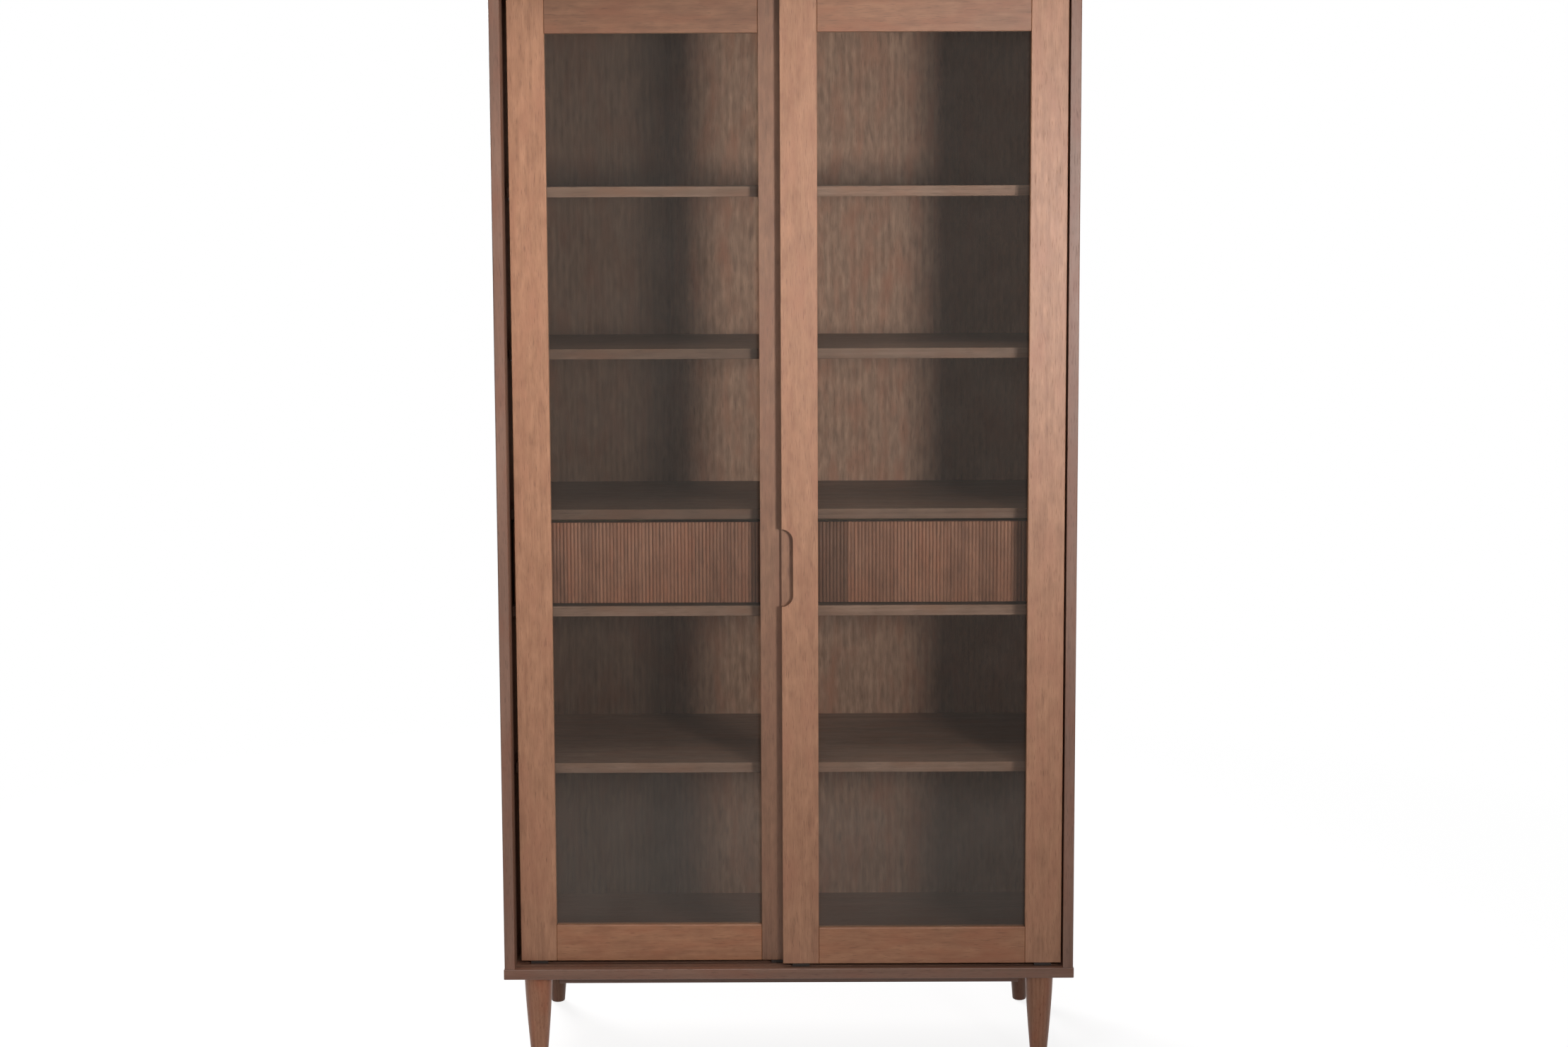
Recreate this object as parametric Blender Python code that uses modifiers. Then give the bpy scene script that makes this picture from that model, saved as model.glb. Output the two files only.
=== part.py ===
"""A tall display cabinet on turned legs. Two framed glass doors slide past each other in
front of five shelves and a pair of reeded drawers.

X runs to the right, the doors face -Y and Z is up. The origin is on the floor, under the
middle of the case. All lengths are in metres.
"""

import math

import bmesh
import bpy
from mathutils import Matrix, Vector

# Case
CASE_WIDTH = 1.000
CASE_DEPTH = 0.450
CASE_HEIGHT = 1.729
BOARD_THICK = 0.018
BOARD_OVERHANG = 0.001
SIDE_THICK = 0.018
SIDE_ROUNDING = 0.003
ARRIS = 0.0008
TONGUE_THICK = 0.006
TONGUE_HEIGHT = 0.006
TONGUE_END_SETBACK = 0.020

# Back panel, held in grooves
BACK_THICK = 0.006
BACK_INSET = 0.007
BACK_TUCK = 0.0055

# Shelves
SHELF_THICK = 0.018
SHELF_SETBACK = 0.060
DRAWER_CLEAR = 0.153
# Undersides of the lower shelf, the drawers' base, the middle shelf and the upper shelf, as
# shares of the clear height inside the case
SHELF_HEIGHT_SHARES = (0.199, 0.3645, 0.631, 0.796)
HOUSING_DEPTH = 0.007
LOOSE_SHELF_CLEARANCE = 0.001
DIVIDER_THICK = 0.018
DIVIDER_SETBACK = 0.005
DIVIDER_HOUSING = 0.005

# Pins that carry the loose shelves
PIN_DIAMETER = 0.005
PIN_IN_SIDE = 0.008
PIN_UNDER_SHELF = 0.009
PIN_FROM_EDGE = 0.040
PIN_HOLE_EXTRA_DEPTH = 0.001
PIN_HOLE_STEP = 0.032

# Legs and the rails between them
LEG_HEIGHT = 0.180
LEG_TOP_DIAMETER = 0.050
LEG_FOOT_DIAMETER = 0.026
LEG_INSET = 0.055
LEG_FOOT_ROUNDING = 0.003
LEG_STUD_DIAMETER = 0.012
LEG_STUD_HEIGHT = 0.012
UNDER_RAIL_HEIGHT = 0.022
UNDER_RAIL_THICK = 0.020
UNDER_RAIL_TO_LEG = 0.012
# Height as a share of the leg's, and how far the radius has grown from foot to top there
LEG_OUTLINE_SHARES = ((1.0, 1.0), (0.86, 0.94), (0.65, 0.81), (0.48, 0.6), (0.2, 0.25))

# Doors
DOOR_THICK = 0.018
DOOR_LAP = 0.026
DOOR_GAP_BELOW = 0.007
DOOR_GAP_ABOVE = 0.005
FRONT_DOOR_SETBACK = 0.008
FRONT_DOOR_END_GAP = 0.003
REAR_DOOR_END_GAP = 0.009
DOOR_TO_DOOR = 0.002
STILE_WIDTH = 0.063
RAIL_HEIGHT = 0.064
TENON_LENGTH = 0.025
TENON_THICK = 0.006
TENON_SHOULDER = 0.012
GLASS_THICK = 0.004
GLASS_TUCK = 0.007
GLASS_GROOVE_DEPTH = 0.008
GUIDE_THICK = 0.005
GUIDE_END_INSET = 0.006
GUIDE_ENGAGEMENT = 0.006
GUIDE_LIFT_ROOM = 0.005
TRACK_CLEARANCE = 0.0006
TRACK_DEPTH = 0.005
GLIDE_LENGTH = 0.030
GLIDE_THICK = 0.010
GLIDE_IN_STILE = 0.012
GLIDE_KEEL_THICK = 0.004

# Finger recess in the front door, a little below the middle of the drawers
RECESS_WIDTH = 0.020
RECESS_HEIGHT = 0.1356
RECESS_DEPTH = 0.012
RECESS_DROP = 0.0016

# Drawers
DRAWER_SETBACK = 0.002
DRAWER_FRONT_THICK = 0.014
DRAWER_REVEAL_SIDE = 0.0025
DRAWER_REVEAL_TOP = 0.0055
RIB_PITCH = 0.0062
RIB_DEPTH = 0.0025
DRAWER_SIDE_THICK = 0.012
DRAWER_SIDE_HEIGHT = 0.110
DRAWER_SIDE_LIFT = 0.004
DRAWER_SIDE_CLEARANCE = 0.003
DRAWER_BEHIND_CLEARANCE = 0.015
DRAWER_BOTTOM_THICK = 0.005
DRAWER_BOTTOM_LIFT = 0.006
DRAWER_BOTTOM_TUCK = 0.004
RUNNER_HEIGHT = 0.012
RUNNER_WIDTH = 0.009
RUNNER_SETBACK = 0.015
RUNNER_END_CLEARANCE = 0.030
RUNNER_STOP_GAP = 0.001

# Working allowances and how finely round shapes are cut
FIT_GAP = 0.0003
CUT_OVERRUN = 0.002
MERGE_DISTANCE = 0.00001
FLAT_ANGLE = math.radians(1)
SMOOTH_ANGLE = math.radians(40)
LEG_SIDES = 32
PIN_SIDES = 12
ROUNDING_STEPS = 4
ROUND_PROFILE = 0.5
RECESS_STEPS = 8
RIB_STEPS = 4

# Stained oak seen on each kind of piece, plus the hardware
COLOURS = {
    "case": (0.165, 0.082, 0.052),
    "edge": (0.205, 0.110, 0.075),
    "back": (0.200, 0.118, 0.078),
    "door": (0.420, 0.235, 0.160),
    "drawer": (0.230, 0.120, 0.075),
    "leg": (0.210, 0.105, 0.066),
    "drawer_box": (0.520, 0.360, 0.230),
}
WOOD_ROUGHNESS = 0.5
GLASS_COLOUR = (0.93, 0.96, 0.95)
GLASS_ROUGHNESS = 0.02
NYLON_COLOUR = (0.03, 0.03, 0.032)
NYLON_ROUGHNESS = 0.45
STEEL_COLOUR = (0.55, 0.55, 0.56)
STEEL_ROUGHNESS = 0.3

# Places worked out from the dimensions above
half_width = CASE_WIDTH / 2
half_depth = CASE_DEPTH / 2
side_outer_x = half_width - BOARD_OVERHANG
side_inner_x = side_outer_x - SIDE_THICK
side_middle_x = (side_outer_x + side_inner_x) / 2
inner_width = 2 * side_inner_x
floor_z = LEG_HEIGHT + BOARD_THICK
ceiling_z = LEG_HEIGHT + CASE_HEIGHT - BOARD_THICK
lower_shelf_z, bay_base_z, middle_shelf_z, upper_shelf_z = (
    floor_z + (ceiling_z - floor_z) * share for share in SHELF_HEIGHT_SHARES
)
bay_floor_z = bay_base_z + SHELF_THICK
bay_top_z = bay_floor_z + DRAWER_CLEAR
recess_middle_z = bay_floor_z + DRAWER_CLEAR / 2 - RECESS_DROP
back_rear_y = half_depth - BACK_INSET
back_front_y = back_rear_y - BACK_THICK
shelf_front_y = -half_depth + SHELF_SETBACK
divider_front_y = shelf_front_y + DIVIDER_SETBACK
divider_face_x = DIVIDER_THICK / 2
pin_radius = PIN_DIAMETER / 2
pin_front_y = shelf_front_y + PIN_FROM_EDGE
pin_rear_y = back_front_y - PIN_FROM_EDGE
leg_x = half_width - LEG_INSET
leg_y = half_depth - LEG_INSET
door_width = (inner_width - FRONT_DOOR_END_GAP - REAR_DOOR_END_GAP + DOOR_LAP) / 2
door_low_z = floor_z + DOOR_GAP_BELOW
door_high_z = ceiling_z - DOOR_GAP_ABOVE
front_door_y = -half_depth + FRONT_DOOR_SETBACK
rear_door_y = front_door_y + DOOR_THICK + DOOR_TO_DOOR
front_door_x = side_inner_x - FRONT_DOOR_END_GAP - door_width
rear_door_x = -side_inner_x + REAR_DOOR_END_GAP
drawer_front_y = shelf_front_y + DRAWER_SETBACK
drawer_box_y = drawer_front_y + DRAWER_FRONT_THICK + FIT_GAP
drawer_rear_y = back_front_y - DRAWER_BEHIND_CLEARANCE
drawer_side_low_z = bay_floor_z + DRAWER_REVEAL_TOP + DRAWER_SIDE_LIFT
drawer_side_high_z = drawer_side_low_z + DRAWER_SIDE_HEIGHT
drawer_bottom_z = drawer_side_low_z + DRAWER_BOTTOM_LIFT
runner_middle_z = (drawer_side_low_z + drawer_side_high_z) / 2
runner_low_z = runner_middle_z - RUNNER_HEIGHT / 2
runner_high_z = runner_middle_z + RUNNER_HEIGHT / 2
runner_front_y = drawer_box_y + RUNNER_SETBACK
runner_rear_y = back_front_y - RUNNER_END_CLEARANCE
along_x = Matrix.Rotation(math.pi / 2, 4, "Y")

for old in list(bpy.data.objects):
    bpy.data.objects.remove(old)
cabinet = bpy.data.collections.new("display_cabinet")
cutters = bpy.data.collections.new("cutters")
bpy.context.scene.collection.children.link(cabinet)
bpy.context.scene.collection.children.link(cutters)


def finish(name, colour, roughness, metallic=0.0, transmission=0.0):
    """A Principled material in one plain colour."""
    material = bpy.data.materials.new(name + "_finish")
    material.use_nodes = True
    shader = material.node_tree.nodes["Principled BSDF"]
    shader.inputs["Base Color"].default_value = (*colour, 1.0)
    shader.inputs["Roughness"].default_value = roughness
    shader.inputs["Metallic"].default_value = metallic
    shader.inputs["Transmission Weight"].default_value = transmission
    material.diffuse_color = (*colour, 1.0)
    return material


def stained_oak(name, kind):
    return finish(name, COLOURS[kind], WOOD_ROUGHNESS)


def float_glass(name):
    return finish(name, GLASS_COLOUR, GLASS_ROUGHNESS, transmission=1.0)


def black_nylon(name):
    return finish(name, NYLON_COLOUR, NYLON_ROUGHNESS)


def bright_steel(name):
    return finish(name, STEEL_COLOUR, STEEL_ROUGHNESS, metallic=1.0)


def world_place(thing):
    """Where an object sits, adding up its parents. Nothing here is turned or scaled."""
    place = Vector(thing.location)
    while thing.parent:
        thing = thing.parent
        place += thing.location
    return place


def seat(thing, point, parent):
    """Puts an object at a point of the whole model, under its parent."""
    thing.location = Vector(point) - (world_place(parent) if parent else Vector())
    thing.parent = parent


def moving_frame(name, point):
    """The empty that carries a sliding group of pieces."""
    empty = bpy.data.objects.new(name, None)
    empty.empty_display_type = "ARROWS"
    cabinet.objects.link(empty)
    empty.location = point
    return empty


def box_mesh(name, size):
    mesh = bpy.data.meshes.new(name)
    work = bmesh.new()
    bmesh.ops.create_cube(work, size=1.0, matrix=Matrix.Diagonal((*size, 1.0)))
    work.to_mesh(mesh)
    work.free()
    return mesh


def middle_and_size(low, high):
    low, high = Vector(low), Vector(high)
    return (low + high) / 2, high - low


def block(name, low, high, material, parent=None):
    """A squared piece of board between two opposite corners."""
    middle, size = middle_and_size(low, high)
    piece = bpy.data.objects.new(name, box_mesh(name, size))
    piece.data.materials.append(material)
    cabinet.objects.link(piece)
    seat(piece, middle, parent)
    return piece


def ease(piece):
    """Takes the sharpness off every edge of a squared piece."""
    bevel = piece.modifiers.new("eased edges", "BEVEL")
    bevel.width = ARRIS
    bevel.segments = 1
    return piece


def helper(mesh, point, piece):
    """A shape that cuts or is joined to a piece, and isn't part of the model itself."""
    tool = bpy.data.objects.new(mesh.name, mesh)
    cutters.objects.link(tool)
    tool.hide_render = True
    tool.display_type = "WIRE"
    seat(tool, point, piece)
    return tool


def boolean(piece, tool, operation):
    modifier = piece.modifiers.new(tool.name, "BOOLEAN")
    modifier.operation = operation
    modifier.solver = "EXACT"
    modifier.object = tool


def cut_box(piece, label, low, high):
    middle, size = middle_and_size(low, high)
    mesh = box_mesh(f"{piece.name}_{label}", size)
    boolean(piece, helper(mesh, middle, piece), "DIFFERENCE")


def join_box(piece, label, low, high):
    middle, size = middle_and_size(low, high)
    mesh = box_mesh(f"{piece.name}_{label}", size)
    boolean(piece, helper(mesh, middle, piece), "UNION")


def rods_mesh(name, radius, length, centres, turn):
    """Round rods of one size around the given centres, all turned alike from upright."""
    mesh = bpy.data.meshes.new(name)
    work = bmesh.new()
    for centre in centres:
        bmesh.ops.create_cone(
            work,
            cap_ends=True,
            segments=PIN_SIDES,
            radius1=radius,
            radius2=radius,
            depth=length,
            matrix=Matrix.Translation(centre) @ turn,
        )
    work.to_mesh(mesh)
    work.free()
    return mesh


def extruded_mesh(name, outline, height, turn):
    """A flat outline given as much height, turned into place and closed into one body."""
    curve = bpy.data.curves.new(name, "CURVE")
    curve.dimensions = "2D"
    curve.fill_mode = "BOTH"
    curve.extrude = height / 2
    spline = curve.splines.new("POLY")
    spline.points.add(len(outline) - 1)
    for point, (x, y) in zip(spline.points, outline):
        point.co = (x, y, 0, 1)
    spline.use_cyclic_u = True
    drawn = bpy.data.objects.new(name, curve)
    cutters.objects.link(drawn)
    drawn.matrix_world = turn
    bpy.context.view_layer.update()
    graph = bpy.context.evaluated_depsgraph_get()
    mesh = bpy.data.meshes.new_from_object(drawn.evaluated_get(graph))
    mesh.name = name
    work = bmesh.new()
    work.from_mesh(mesh)
    bmesh.ops.transform(work, matrix=drawn.matrix_world, verts=work.verts)
    bmesh.ops.remove_doubles(work, verts=work.verts, dist=MERGE_DISTANCE)
    bmesh.ops.dissolve_limit(
        work, angle_limit=FLAT_ANGLE, verts=work.verts, edges=work.edges
    )
    bmesh.ops.recalc_face_normals(work, faces=work.faces)
    work.to_mesh(mesh)
    work.free()
    bpy.data.objects.remove(drawn)
    bpy.data.curves.remove(curve)
    return mesh


def cross_board(name, low_z, high_z, inner_z, outward):
    """The top or bottom board, with grooves for the back panel and the side panels' tongues."""
    board = block(
        name,
        (-half_width, -half_depth, low_z),
        (half_width, half_depth, high_z),
        stained_oak(name, "edge"),
    )
    ease(board)
    groove_x = side_inner_x + BACK_TUCK + FIT_GAP
    reach = outward * (BACK_TUCK + FIT_GAP)
    run_out = -outward * CUT_OVERRUN
    low, high = sorted((inner_z + run_out, inner_z + reach))
    cut_box(
        board,
        "back_groove",
        (-groove_x, back_front_y - FIT_GAP, low),
        (groove_x, back_rear_y + FIT_GAP, high),
    )
    reach = outward * (TONGUE_HEIGHT + FIT_GAP)
    low, high = sorted((inner_z + run_out, inner_z + reach))
    half_thick = TONGUE_THICK / 2 + FIT_GAP
    for label, side in (("left", -1), ("right", 1)):
        cut_box(
            board,
            f"{label}_tongue_groove",
            (side * side_middle_x - half_thick, tongue_front_y() - FIT_GAP, low),
            (side * side_middle_x + half_thick, tongue_rear_y() + FIT_GAP, high),
        )
    return board


def tongue_front_y():
    return shelf_front_y + TONGUE_END_SETBACK


def tongue_rear_y():
    return back_front_y - TONGUE_END_SETBACK


def cut_door_groove(board, label, door_y, low, high, thickness):
    """One groove along a board, under or over the middle of a door."""
    middle_y = door_y + DOOR_THICK / 2
    half = thickness / 2 + TRACK_CLEARANCE
    cut_box(
        board,
        label,
        (-side_inner_x, middle_y - half, low),
        (side_inner_x, middle_y + half, high),
    )


def bottom_board():
    board = cross_board("bottom_board", LEG_HEIGHT, floor_z, floor_z, -1)
    for label, door_y in (("front_track", front_door_y), ("rear_track", rear_door_y)):
        cut_door_groove(
            board,
            label,
            door_y,
            floor_z - TRACK_DEPTH,
            floor_z + CUT_OVERRUN,
            GLIDE_KEEL_THICK,
        )
    depth = LEG_STUD_HEIGHT + FIT_GAP
    length = depth + CUT_OVERRUN
    middle_z = LEG_HEIGHT + depth - length / 2
    centres = [(side_x * leg_x, side_y * leg_y, middle_z) for _, side_x, side_y in leg_places()]
    radius = LEG_STUD_DIAMETER / 2 + FIT_GAP
    mesh = rods_mesh("leg_stud_holes", radius, length, centres, Matrix.Identity(4))
    boolean(board, helper(mesh, (0, 0, 0), board), "DIFFERENCE")


def top_board():
    high_z = ceiling_z + BOARD_THICK
    board = cross_board("top_board", ceiling_z, high_z, ceiling_z, 1)
    depth = GUIDE_ENGAGEMENT + GUIDE_LIFT_ROOM
    for label, door_y in (("front_guide", front_door_y), ("rear_guide", rear_door_y)):
        cut_door_groove(
            board,
            label,
            door_y,
            ceiling_z - CUT_OVERRUN,
            ceiling_z + depth,
            GUIDE_THICK,
        )


def round_front_edge(piece, side):
    """Rounds the upright edge at the front and outside of a side panel."""
    work = bmesh.new()
    work.from_mesh(piece.data)
    edges = [
        edge
        for edge in work.edges
        if all(v.co.x * side > 0 and v.co.y < 0 for v in edge.verts)
    ]
    bmesh.ops.bevel(
        work,
        geom=edges,
        offset=SIDE_ROUNDING,
        segments=ROUNDING_STEPS,
        profile=ROUND_PROFILE,
        affect="EDGES",
    )
    work.to_mesh(piece.data)
    work.free()


def side_panel(label, side):
    """A side of the case. Its tongues stand in the top and bottom boards."""
    inner, outer = side * side_inner_x, side * side_outer_x
    low_x, high_x = sorted((inner, outer))
    low_z, high_z = floor_z + FIT_GAP, ceiling_z - FIT_GAP
    panel = block(
        f"{label}_side_panel",
        (low_x, -half_depth + BOARD_OVERHANG, low_z),
        (high_x, half_depth - BOARD_OVERHANG, high_z),
        stained_oak(f"{label}_side_panel", "case"),
    )
    round_front_edge(panel, side)
    middle_x = side * side_middle_x
    for end, low, high in (
        ("bottom", floor_z - TONGUE_HEIGHT, low_z + CUT_OVERRUN),
        ("top", high_z - CUT_OVERRUN, ceiling_z + TONGUE_HEIGHT),
    ):
        join_box(
            panel,
            f"{end}_tongue",
            (middle_x - TONGUE_THICK / 2, tongue_front_y(), low),
            (middle_x + TONGUE_THICK / 2, tongue_rear_y(), high),
        )
    past_face = inner - side * CUT_OVERRUN
    low_x, high_x = sorted((past_face, inner + side * (BACK_TUCK + FIT_GAP)))
    cut_box(
        panel,
        "back_groove",
        (low_x, back_front_y - FIT_GAP, floor_z - CUT_OVERRUN),
        (high_x, back_rear_y + FIT_GAP, ceiling_z + CUT_OVERRUN),
    )
    low_x, high_x = sorted((past_face, inner + side * (HOUSING_DEPTH + FIT_GAP)))
    for shelf, shelf_z in (("bay_base", bay_base_z), ("bay_top", bay_top_z)):
        cut_box(
            panel,
            f"{shelf}_housing",
            (low_x, shelf_front_y - FIT_GAP, shelf_z - FIT_GAP),
            (high_x, back_front_y, shelf_z + SHELF_THICK + FIT_GAP),
        )
    cut_pin_holes(panel, side)


def cut_pin_holes(panel, side):
    """The row of shelf pin holes in use, with a spare hole above and below each."""
    depth = PIN_IN_SIDE + PIN_HOLE_EXTRA_DEPTH
    length = depth + CUT_OVERRUN
    middle_x = side * (side_inner_x + depth - length / 2)
    centres = [
        (middle_x, pin_y, pin_middle_z(shelf_z) + step * PIN_HOLE_STEP)
        for _, shelf_z in loose_shelves()
        for pin_y in (pin_front_y, pin_rear_y)
        for step in (-1, 0, 1)
    ]
    mesh = rods_mesh(
        f"{panel.name}_pin_holes", pin_radius + FIT_GAP, length, centres, along_x
    )
    boolean(panel, helper(mesh, (0, 0, 0), panel), "DIFFERENCE")


def loose_shelves():
    return (
        ("upper_shelf", upper_shelf_z),
        ("middle_shelf", middle_shelf_z),
        ("lower_shelf", lower_shelf_z),
    )


def pin_middle_z(shelf_z):
    return shelf_z - FIT_GAP - pin_radius


def back_panel():
    reach = side_inner_x + BACK_TUCK
    block(
        "back_panel",
        (-reach, back_front_y, floor_z - BACK_TUCK),
        (reach, back_rear_y, ceiling_z + BACK_TUCK),
        stained_oak("back_panel", "back"),
    )


def loose_shelf(name, shelf_z):
    """A shelf that lies on four pins and lifts out."""
    half = side_inner_x - LOOSE_SHELF_CLEARANCE
    shelf = block(
        name,
        (-half, shelf_front_y, shelf_z),
        (half, back_front_y - LOOSE_SHELF_CLEARANCE, shelf_z + SHELF_THICK),
        stained_oak(name, "edge"),
    )
    ease(shelf)
    length = PIN_IN_SIDE + PIN_UNDER_SHELF
    for label, side in (("left", -1), ("right", 1)):
        middle_x = side * (side_inner_x + PIN_IN_SIDE - length / 2)
        for row, pin_y in (("front", pin_front_y), ("rear", pin_rear_y)):
            pin_name = f"{name}_{row}_{label}_pin"
            mesh = rods_mesh(pin_name, pin_radius, length, [(0, 0, 0)], along_x)
            pin = bpy.data.objects.new(pin_name, mesh)
            pin.data.materials.append(bright_steel(pin_name))
            pin.data.shade_smooth()
            pin.data.set_sharp_from_angle(angle=SMOOTH_ANGLE)
            cabinet.objects.link(pin)
            seat(pin, (middle_x, pin_y, pin_middle_z(shelf_z)), None)


def bay_board(name, shelf_z, open_side):
    """A fixed shelf above or below the drawers, let into the sides and round the divider."""
    half = side_inner_x + HOUSING_DEPTH
    board = block(
        name,
        (-half, shelf_front_y, shelf_z),
        (half, back_front_y - FIT_GAP, shelf_z + SHELF_THICK),
        stained_oak(name, "edge"),
    )
    ease(board)
    face_z = shelf_z + SHELF_THICK if open_side > 0 else shelf_z
    low, high = sorted(
        (face_z + open_side * CUT_OVERRUN, face_z - open_side * (DIVIDER_HOUSING + FIT_GAP))
    )
    cut_box(
        board,
        "divider_housing",
        (-divider_face_x - FIT_GAP, divider_front_y - FIT_GAP, low),
        (divider_face_x + FIT_GAP, back_front_y + CUT_OVERRUN, high),
    )


def drawer_bay_divider():
    block(
        "drawer_bay_divider",
        (-divider_face_x, divider_front_y, bay_floor_z - DIVIDER_HOUSING),
        (divider_face_x, back_front_y - FIT_GAP, bay_top_z + DIVIDER_HOUSING),
        stained_oak("drawer_bay_divider", "case"),
    )


def leg_places():
    return (
        ("front_left", -1, -1),
        ("front_right", 1, -1),
        ("rear_left", -1, 1),
        ("rear_right", 1, 1),
    )


def leg_profile():
    """Half the outline of a leg, from the top of its stud down to the middle of its foot."""
    top_radius = LEG_TOP_DIAMETER / 2
    foot_radius = LEG_FOOT_DIAMETER / 2
    top_z = LEG_HEIGHT - FIT_GAP
    stud_radius = LEG_STUD_DIAMETER / 2
    points = [(0, LEG_HEIGHT + LEG_STUD_HEIGHT)]
    points.append((stud_radius, LEG_HEIGHT + LEG_STUD_HEIGHT))
    points.append((stud_radius, top_z))
    for height_share, growth_share in LEG_OUTLINE_SHARES:
        radius = foot_radius + (top_radius - foot_radius) * growth_share
        points.append((radius, top_z * height_share))
    for step in range(ROUNDING_STEPS + 1):
        angle = math.pi / 2 * step / ROUNDING_STEPS
        inset = LEG_FOOT_ROUNDING * (1 - math.cos(angle))
        points.append((foot_radius - inset, LEG_FOOT_ROUNDING * (1 - math.sin(angle))))
    points.append((0, 0))
    return points


def leg(label, side_x, side_y):
    """A turned, tapered leg with the stud that holds it in the bottom board."""
    name = f"{label}_leg"
    mesh = bpy.data.meshes.new(name)
    points = [(radius, 0, z) for radius, z in leg_profile()]
    edges = [(i, i + 1) for i in range(len(points) - 1)]
    mesh.from_pydata(points, edges, [])
    mesh.materials.append(stained_oak(name, "leg"))
    turned = bpy.data.objects.new(name, mesh)
    cabinet.objects.link(turned)
    seat(turned, (side_x * leg_x, side_y * leg_y, 0), None)
    screw = turned.modifiers.new("turning", "SCREW")
    screw.steps = LEG_SIDES
    screw.render_steps = LEG_SIDES
    screw.use_smooth_shade = True
    screw.use_merge_vertices = True
    screw.merge_threshold = MERGE_DISTANCE


def under_rail(label, side_y):
    """A stiffening rail under the bottom board, between two legs."""
    half_length = leg_x - LEG_TOP_DIAMETER / 2 - UNDER_RAIL_TO_LEG
    middle_y = side_y * leg_y
    high_z = LEG_HEIGHT - FIT_GAP
    rail = block(
        f"{label}_under_rail",
        (-half_length, middle_y - UNDER_RAIL_THICK / 2, high_z - UNDER_RAIL_HEIGHT),
        (half_length, middle_y + UNDER_RAIL_THICK / 2, high_z),
        stained_oak(f"{label}_under_rail", "case"),
    )
    ease(rail)


def door(name, left_x, front_y):
    """A framed glass door: two full-height stiles, two rails, glass and two bottom glides."""
    frame = moving_frame(f"{name}_slide", (left_x + door_width / 2, front_y, door_low_z))
    middle_y = front_y + DOOR_THICK / 2
    inner_left = left_x + STILE_WIDTH
    inner_right = left_x + door_width - STILE_WIDTH
    for label, low_x, inward in (
        ("left", left_x, 1),
        ("right", left_x + door_width - STILE_WIDTH, -1),
    ):
        stile(f"{name}_{label}_stile", low_x, front_y, inward, frame)
        glide(f"{name}_{label}_glide", low_x + STILE_WIDTH / 2, middle_y, frame)
    for label, low_z, outward in (
        ("bottom", door_low_z, -1),
        ("top", door_high_z - RAIL_HEIGHT, 1),
    ):
        door_rail(f"{name}_{label}_rail", inner_left, inner_right, low_z, outward, front_y, frame)
    block(
        f"{name}_glass",
        (
            inner_left - GLASS_TUCK,
            middle_y - GLASS_THICK / 2,
            door_low_z + RAIL_HEIGHT - GLASS_TUCK,
        ),
        (
            inner_right + GLASS_TUCK,
            middle_y + GLASS_THICK / 2,
            door_high_z - RAIL_HEIGHT + GLASS_TUCK,
        ),
        float_glass(f"{name}_glass"),
        frame,
    )
    return frame


def stile(name, low_x, front_y, inward, frame):
    """An upright of a door. A tongue on its top end runs in the top board's groove."""
    middle_y = front_y + DOOR_THICK / 2
    upright = block(
        name,
        (low_x, front_y, door_low_z),
        (low_x + STILE_WIDTH, front_y + DOOR_THICK, door_high_z),
        stained_oak(name, "door"),
        frame,
    )
    ease(upright)
    join_box(
        upright,
        "guide",
        (low_x + GUIDE_END_INSET, middle_y - GUIDE_THICK / 2, door_high_z - CUT_OVERRUN),
        (
            low_x + STILE_WIDTH - GUIDE_END_INSET,
            middle_y + GUIDE_THICK / 2,
            ceiling_z + GUIDE_ENGAGEMENT,
        ),
    )
    face_x = low_x + STILE_WIDTH if inward > 0 else low_x
    run_out = face_x + inward * CUT_OVERRUN
    low, high = sorted((run_out, face_x - inward * GLASS_GROOVE_DEPTH))
    half = GLASS_THICK / 2 + FIT_GAP
    cut_box(
        upright,
        "glass_groove",
        (low, middle_y - half, door_low_z + RAIL_HEIGHT - GLASS_GROOVE_DEPTH),
        (high, middle_y + half, door_high_z - RAIL_HEIGHT + GLASS_GROOVE_DEPTH),
    )
    low, high = sorted((run_out, face_x - inward * (TENON_LENGTH + FIT_GAP)))
    half = TENON_THICK / 2 + FIT_GAP
    for label, rail_z in (("bottom", door_low_z), ("top", door_high_z - RAIL_HEIGHT)):
        cut_box(
            upright,
            f"{label}_mortise",
            (low, middle_y - half, rail_z + TENON_SHOULDER - FIT_GAP),
            (high, middle_y + half, rail_z + RAIL_HEIGHT - TENON_SHOULDER + FIT_GAP),
        )
    middle_x = low_x + STILE_WIDTH / 2
    cut_box(
        upright,
        "glide_notch",
        (
            middle_x - GLIDE_LENGTH / 2 - FIT_GAP,
            middle_y - GLIDE_THICK / 2 - FIT_GAP,
            door_low_z - CUT_OVERRUN,
        ),
        (
            middle_x + GLIDE_LENGTH / 2 + FIT_GAP,
            middle_y + GLIDE_THICK / 2 + FIT_GAP,
            door_low_z + GLIDE_IN_STILE + FIT_GAP,
        ),
    )
    return upright


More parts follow.
